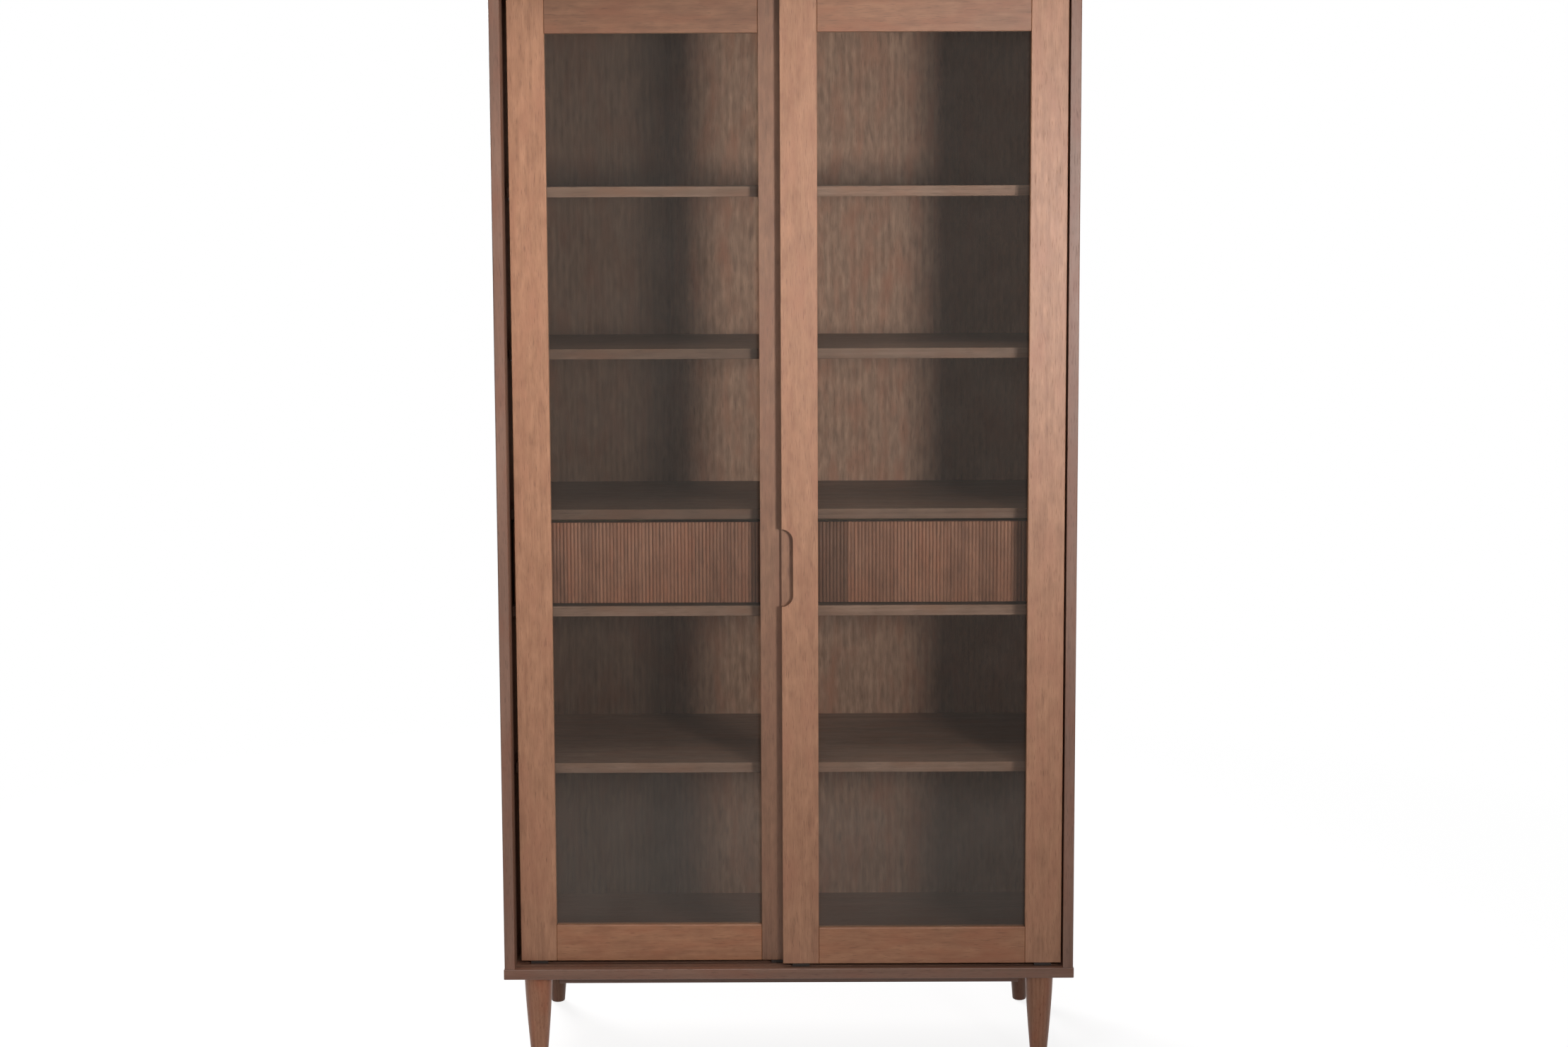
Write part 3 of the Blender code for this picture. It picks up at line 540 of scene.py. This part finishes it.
def turned_leg(node, shade):
    """A leg of the node's height, turned from a smooth outline about the node's own axis."""
    low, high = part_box(node)
    board_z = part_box("bottom_board")[0].z
    centre = (low + high) / 2
    top_z = board_z - low.z
    ends = (Vector((LEG_TOP_RADIUS, top_z)), Vector((LEG_FOOT_RADIUS, LEG_ROUNDING)))
    handles = [Vector((r * LEG_TOP_RADIUS, h * top_z)) for r, h in LEG_HANDLE_SHARES]
    taper = interpolate_bezier(ends[0], *handles, ends[1], LEG_STEPS)
    outline = [Vector((0, high.z - low.z)), Vector((LEG_STUD_RADIUS, high.z - low.z))]
    outline.append(Vector((LEG_STUD_RADIUS, top_z)))
    outline += [point.to_2d() for point in taper]
    for step in range(1, LEG_ROUNDING_STEPS + 1):
        angle = math.pi / 2 * step / LEG_ROUNDING_STEPS
        inset = LEG_ROUNDING * (1 - math.cos(angle))
        outline.append(Vector((LEG_FOOT_RADIUS - inset, LEG_ROUNDING * (1 - math.sin(angle)))))
    outline.append(Vector((0, 0)))
    work = bmesh.new()
    rings = []
    for radius, z in outline:
        if radius == 0:
            rings.append([work.verts.new((centre.x, centre.y, low.z + z))])
            continue
        turns = [2 * math.pi * i / LEG_SIDES for i in range(LEG_SIDES)]
        rings.append(
            [
                work.verts.new(
                    (
                        centre.x + radius * math.cos(turn),
                        centre.y + radius * math.sin(turn),
                        low.z + z,
                    )
                )
                for turn in turns
            ]
        )
    for upper, lower in zip(rings, rings[1:]):
        for i in range(LEG_SIDES):
            after = (i + 1) % LEG_SIDES
            corners = [upper[i % len(upper)], lower[i % len(lower)]]
            if len(lower) > 1:
                corners.append(lower[after])
            if len(upper) > 1:
                corners.append(upper[after])
            work.faces.new(corners)
    bmesh.ops.recalc_face_normals(work, faces=work.faces)
    mesh = bpy.data.meshes.new(f"turned_{node}")
    work.to_mesh(mesh)
    work.free()
    mesh.shade_smooth()
    mesh.set_sharp_from_angle(angle=LEG_SHARPEST)
    leg = bpy.data.objects.new(mesh.name, mesh)
    bpy.context.scene.collection.objects.link(leg)
    dress(leg, node, leg_oak, "Z", shade=shade, nearest=0.012, farthest=0.04)
    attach(leg, "case")
    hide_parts(node)
    return leg


for end, shade in LEG_TONES_AND_PAINTED_SHADE.items():
    for side in ("left", "right"):
        turned_leg(f"{end}_{side}_leg", shade)
for node in ("front_under_rail", "rear_under_rail"):
    dress(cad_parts[node], node, case_boards, "X", shade=UNDER_RAIL_PAINTED_SHADE)


# Door frames
# Solid oak, stained paler and warmer than the case. Each stile runs the full height of its door
# and takes the rails' tenons, so the joint lines are level with the rails' ends.

STILE_STAIN = ("#b08062", "#8b6046", "#a16e54", "#5f3c2a")
RAIL_STAIN = ("#b47f5d", "#8f5f42", "#a66848", "#5f3c2a")
# Close-grained stock: faint rings, and small patches where the stain took unevenly
FRAME_FIGURE = {
    "ring": 9.0,
    "rings": 0.12,
    "fibres": 0.75,
    "streaks": 0.8,
    "clouds": 1.5,
    "patch": 11.0,
    "gloss": 0.5,
    "run": 0.03,
}
stile_oak = stained_oak("stained_solid_oak_stile", "Z", *STILE_STAIN, **FRAME_FIGURE)
# The finger recess, drawn darker inside as painted shade: the middle of its open side, its end
# radius, half its straight wall, depth
stile_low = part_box("front_door_left_stile")[0]
bay_middle_z = (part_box("drawer_bay_base")[1].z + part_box("drawer_bay_top")[0].z) / 2
RECESS_PAINTED_SHADE = (
    (stile_low.x, stile_low.y, bay_middle_z - 1.6 * MILLIMETRE),
    20 * MILLIMETRE,
    47.8 * MILLIMETRE,
    12 * MILLIMETRE,
)
recess_shaded_oak = stained_oak(
    "stained_solid_oak_stile_painted_recess_shade", "Z", *STILE_STAIN, **FRAME_FIGURE, painted_recess=RECESS_PAINTED_SHADE
)
rail_oak = stained_oak("stained_solid_oak_rail", "X", *RAIL_STAIN, **FRAME_FIGURE)
DOOR_SHADES = {
    "front_door": {"left": 0.88, "right": 1.0, "top": 0.61, "bottom": 0.80},
    "rear_door": {"left": 0.98, "right": 0.54, "top": 0.50, "bottom": 0.86},
}
for door, shades in DOOR_SHADES.items():
    for side in ("left", "right"):
        node = f"{door}_{side}_stile"
        finish = recess_shaded_oak if node == "front_door_left_stile" else stile_oak
        dress(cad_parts[node], node, finish, "Z", shade=shades[side])
    for level in ("top", "bottom"):
        node = f"{door}_{level}_rail"
        dress(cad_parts[node], node, rail_oak, "X", shade=shades[level])


# Door panes
# Clear 4 mm float glass, let into grooves in the frames. It mirrors a little of the room, and a
# pale film lies on it, heavier low down: partly a trace of dust, partly a painted reflection of
# the room that veils what is behind.


def float_glass(name):
    """Polished float glass: nearly all is seen through, under a faint mirror and a film that is
    partly dust, partly painted reflection.
    """
    smear_width = 70 * MILLIMETRE
    mirror_falloff = 3.0
    material, tree = empty_material(name)
    place = add(tree, "TexCoord", out="Object")
    smears = add(tree, "TexNoise", {"Vector": place, "Scale": 1 / smear_width, "Detail": 3.0})
    slant = add(tree, "LayerWeight", out="Facing")
    mirrored = add(tree, "Math", {"Value": slant, "Value_001": mirror_falloff}, operation="POWER")
    mirrored = add(tree, "MapRange", {"Value": mirrored, "To Min": 0.0, "To Max": 0.9})
    clear = add(tree, "BsdfTransparent", {"Color": linear("#fbfcfb")})
    mirror = add(tree, "BsdfGlossy", {"Color": linear("#ffffff"), "Roughness": 0.02})
    pane = add(tree, "MixShader", {"Fac": mirrored, "Shader": clear, "Shader_001": mirror})
    dust_and_painted_reflection = add(tree, "BsdfDiffuse", {"Color": linear("#d8cdc4")})
    height = add(tree, "SeparateXYZ", {"Vector": place}, out="Z")
    # Dust and painted reflection: the film thickens from 0.62 m high down to 0.42 m
    dust_and_reflection_film = add(
        tree,
        "MapRange",
        {"Value": height, "From Min": 0.62, "From Max": 0.42, "To Min": 0.022, "To Max": 0.06},
        interpolation_type="SMOOTHSTEP",
    )
    patch = add(
        tree,
        "MapRange",
        {"Value": smears, "From Min": 0.3, "From Max": 0.7, "To Min": 0.9, "To Max": 1.1},
    )
    dust_and_reflection_film = add(tree, "Math", {"Value": dust_and_reflection_film, "Value_001": patch}, operation="MULTIPLY")
    pane = add(tree, "MixShader", {"Fac": dust_and_reflection_film, "Shader": pane, "Shader_001": dust_and_painted_reflection})
    add(tree, "OutputMaterial", {"Surface": pane})
    return material


door_glass = float_glass("polished_float_glass")
for door in ("front_door", "rear_door"):
    coat(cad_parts[f"{door}_glass"], door_glass)


# Bottom glides
# Moulded dark brown nylon blocks let into the feet of the stiles. Their keels run in the grooves
# of the bottom board, and rubbing has left them faintly dull.


def moulded_nylon(name):
    """Moulded nylon: a deep brown, with a waxy, slightly uneven shine."""
    grain_width = 0.5 * MILLIMETRE
    grain_depth = 0.03 * MILLIMETRE
    material, tree = empty_material(name)
    place = add(tree, "TexCoord", out="Object")
    grain = add(tree, "TexNoise", {"Vector": place, "Scale": 1 / grain_width, "Detail": 2.0})
    colour = add(
        tree,
        "Mix",
        {"Factor_Float": grain, "A_Color": linear("#1d1410"), "B_Color": linear("#33251e")},
        data_type="RGBA",
    )
    roughness = add(
        tree,
        "MapRange",
        {"Value": grain, "From Min": 0.3, "From Max": 0.7, "To Min": 0.38, "To Max": 0.55},
    )
    surface = add(tree, "Bump", {"Height": grain, "Strength": 0.3, "Distance": grain_depth})
    shader = add(
        tree,
        "BsdfPrincipled",
        {"Base Color": colour, "Roughness": roughness, "Normal": surface, "IOR": 1.53},
    )
    add(tree, "OutputMaterial", {"Surface": shader})
    return material


glide_nylon = moulded_nylon("moulded_brown_nylon")
for door in ("front_door", "rear_door"):
    for side in ("left", "right"):
        coat(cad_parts[f"{door}_{side}_glide"], glide_nylon)


# Reeded drawer fronts
# Oak staves glued side by side, run through a moulder that cuts half-round reeds down the face,
# then stained like the shelves. Neighbouring staves take the stain unlike each other.

REED_PITCH = 6.2 * MILLIMETRE
REED_DEPTH = 2.5 * MILLIMETRE
REED_STEPS = 10
REED_EASE = 0.8 * MILLIMETRE
REED_SHARPEST = math.radians(40)

# Where each step in tone begins, and how much paler it is than to its left. The dark stretch at
# the left end of the right-hand drawer and the one at its right end are painted shade beside
# the door stiles; the other steps are runs of staves of unlike tone.
STAVE_RUNS_AND_PAINTED_SHADE = (
    (-0.178, -0.14),
    (-0.091, 0.14),
    (0.03, -0.5),
    (0.101, 0.54),
    (0.14, -0.17),
    (0.184, 0.2),
    (0.335, -0.2),
    (0.362, 0.2),
    (0.399, -0.3),
)

reeded_oak = stained_oak(
    "reeded_stained_oak",
    "Z",
    "#8d634f",
    "#684637",
    "#7d4d39",
    "#38261e",
    ring=7.0,
    clouds=1.3,
    patch=14.0,
    gloss=0.08,
    stave=24,
    tone_and_shade_steps=STAVE_RUNS_AND_PAINTED_SHADE,
)


def reeded_front(node, body):
    """A drawer front as big as its node, with round reeds whose ends are eased."""
    low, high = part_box(node)
    count = max(1, round((high.x - low.x) / REED_PITCH))
    pitch = (high.x - low.x) / count
    columns = count * REED_STEPS
    heights = (low.z, low.z + REED_EASE, high.z - REED_EASE, high.z)
    work = bmesh.new()
    rows = []
    for row, z in enumerate(heights):
        ease = REED_EASE if row in (0, len(heights) - 1) else 0
        line = []
        for column in range(columns + 1):
            angle = math.pi * (column % REED_STEPS) / REED_STEPS
            x = low.x + pitch * (column // REED_STEPS + (1 - math.cos(angle)) / 2)
            y = low.y + max(ease, REED_DEPTH * (1 - math.sin(angle)))
            line.append(work.verts.new((x, y, z)))
        rows.append(line)
    sheet = []
    for lower, upper in zip(rows, rows[1:]):
        for i in range(columns):
            sheet.append(work.faces.new((lower[i], lower[i + 1], upper[i + 1], upper[i])))
    back = bmesh.ops.extrude_face_region(work, geom=sheet)
    for vert in (v for v in back["geom"] if isinstance(v, bmesh.types.BMVert)):
        vert.co.y = high.y
    bmesh.ops.recalc_face_normals(work, faces=work.faces)
    mesh = bpy.data.meshes.new(f"reeded_{node}")
    work.to_mesh(mesh)
    work.free()
    mesh.shade_smooth()
    mesh.set_sharp_from_angle(angle=REED_SHARPEST)
    front = bpy.data.objects.new(mesh.name, mesh)
    bpy.context.scene.collection.objects.link(front)
    front["first_rib"] = low.x
    front["rib_pitch"] = pitch
    dress(front, node, reeded_oak, "Z", shade=1.1)
    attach(front, body)
    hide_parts(node)
    return front


for body in ("left_drawer", "right_drawer"):
    reeded_front(f"{body}_front", body)


# Drawer boxes and runners
# Plain pale hardwood, planed and clear lacquered: 12 mm sides grooved for the runners, an inner
# front and a back between them, and a thin bottom slid into grooves.

box_wood = {
    along: stained_oak(
        f"clear_lacquered_hardwood_{along.lower()}",
        along,
        "#d8bd98",
        "#bd9d76",
        "#c9a37c",
        "#96764f",
        ring=2.2,
        rings=0.2,
    )
    for along in "XY"
}
for body in ("left_drawer", "right_drawer"):
    for node, along in (
        ("inner_front", "X"),
        ("left_side", "Y"),
        ("right_side", "Y"),
        ("back", "X"),
        ("bottom", "X"),
        ("left_runner", "Y"),
        ("right_runner", "Y"),
    ):
        piece = f"{body}_{node}"
        dress(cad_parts[piece], piece, box_wood[along], along)


# Studio
# A white floor that runs on into a white background and keeps only a soft shadow. The key lamp
# stands at the right, a weak one fills the left, a broad one hangs overhead and one lights the
# rear.

FLOOR_HALF = 12.0
EYE = Vector((-0.003, -4.1837, 1.5813))
EYE_PITCH = math.radians(6.103)
EYE_ROLL = math.radians(0.224)
LENS = 53.45
SENSOR_WIDTH = 36
SHIFT_Y = -0.063

# The floor turns from painted to plain white between these distances from the cabinet
FLOOR_FADE = (1.2, 2.6)


def seen_directly(tree):
    """How far a ray comes from the camera, a mirror or glass, and not from lit surfaces."""
    path = add(tree, "LightPath", out="Is Camera Ray").node
    seen = path.outputs["Is Camera Ray"]
    for kind in ("Is Glossy Ray", "Is Transmission Ray"):
        seen = add(
            tree, "Math", {"Value": seen, "Value_001": path.outputs[kind]}, operation="MAXIMUM"
        )
    return seen


floor_material, tree = empty_material("white_studio_floor")
place = add(tree, "TexCoord", out="Object")
away = add(tree, "VectorMath", {"Vector": place}, out="Value", operation="LENGTH")
far_share = add(
    tree, "MapRange", {"Value": away, "From Min": FLOOR_FADE[0], "From Max": FLOOR_FADE[1]}
)
bare = add(tree, "BsdfDiffuse", {"Color": linear("#d8cdc6")})
paint = add(tree, "BsdfDiffuse", {"Color": linear("#a0a0a0")})
glow = add(tree, "Emission", {"Color": linear("#ffffff"), "Strength": 0.84})
near = add(tree, "AddShader", {"Shader": paint, "Shader_001": glow})
white = add(tree, "Emission", {"Color": linear("#ffffff"), "Strength": 1.0})
shown = add(tree, "MixShader", {"Fac": far_share, "Shader": near, "Shader_001": white})
surface = add(
    tree, "MixShader", {"Fac": seen_directly(tree), "Shader": bare, "Shader_001": shown}
)
add(tree, "OutputMaterial", {"Surface": surface})
bpy.ops.mesh.primitive_plane_add(size=2 * FLOOR_HALF, location=(0, 0, cad_box[0][2]))
floor = bpy.context.object
floor.name = "studio_floor"
floor.data.materials.append(floor_material)

world = bpy.data.worlds.new("white_room")
bpy.context.scene.world = world
world.use_nodes = True
tree = world.node_tree
tree.nodes.clear()
strength = add(
    tree, "MapRange", {"Value": seen_directly(tree), "To Min": 0.16, "To Max": 1.0}
)
room = add(tree, "Background", {"Color": linear("#ffffff"), "Strength": strength})
add(tree, "OutputWorld", {"Surface": room})


def studio_lamp(name, place, aim, width, height, power, spread):
    """A soft box with its middle at place, turned to aim. Power is in watts, spread in degrees."""
    light = bpy.data.lights.new(name, "AREA")
    light.shape = "RECTANGLE"
    light.size = width
    light.size_y = height
    light.energy = power
    light.spread = math.radians(spread)
    lamp = bpy.data.objects.new(name, light)
    bpy.context.scene.collection.objects.link(lamp)
    lamp.location = place
    lamp.rotation_euler = (Vector(aim) - Vector(place)).to_track_quat("-Z", "Y").to_euler()


studio_lamp("key_lamp", (1.45, -3.05, 1.4), (-0.4, 0, 1.48), 0.52, 0.6, 11.2, 58)
studio_lamp("fill_lamp", (-1.95, -3.0, 1.6), (0, 0, 1.4), 0.8, 0.8, 4, 120)
studio_lamp("top_lamp", (0, -1.6, 4.8), (0, -0.3, 0.3), 1.5, 1.5, 22, 120)
studio_lamp("rear_lamp", (-1.8, 3.0, 2.2), (0, 0, 1.0), 1.6, 1.6, 45, 120)

camera = bpy.data.objects.new("camera", bpy.data.cameras.new("camera"))
bpy.context.scene.collection.objects.link(camera)
bpy.context.scene.camera = camera
camera.location = EYE
camera.rotation_euler = (math.pi / 2 - EYE_PITCH, EYE_ROLL, 0)
camera.data.sensor_width = SENSOR_WIDTH
camera.data.lens = LENS
camera.data.shift_y = SHIFT_Y
bpy.context.scene.view_settings.view_transform = "Standard"
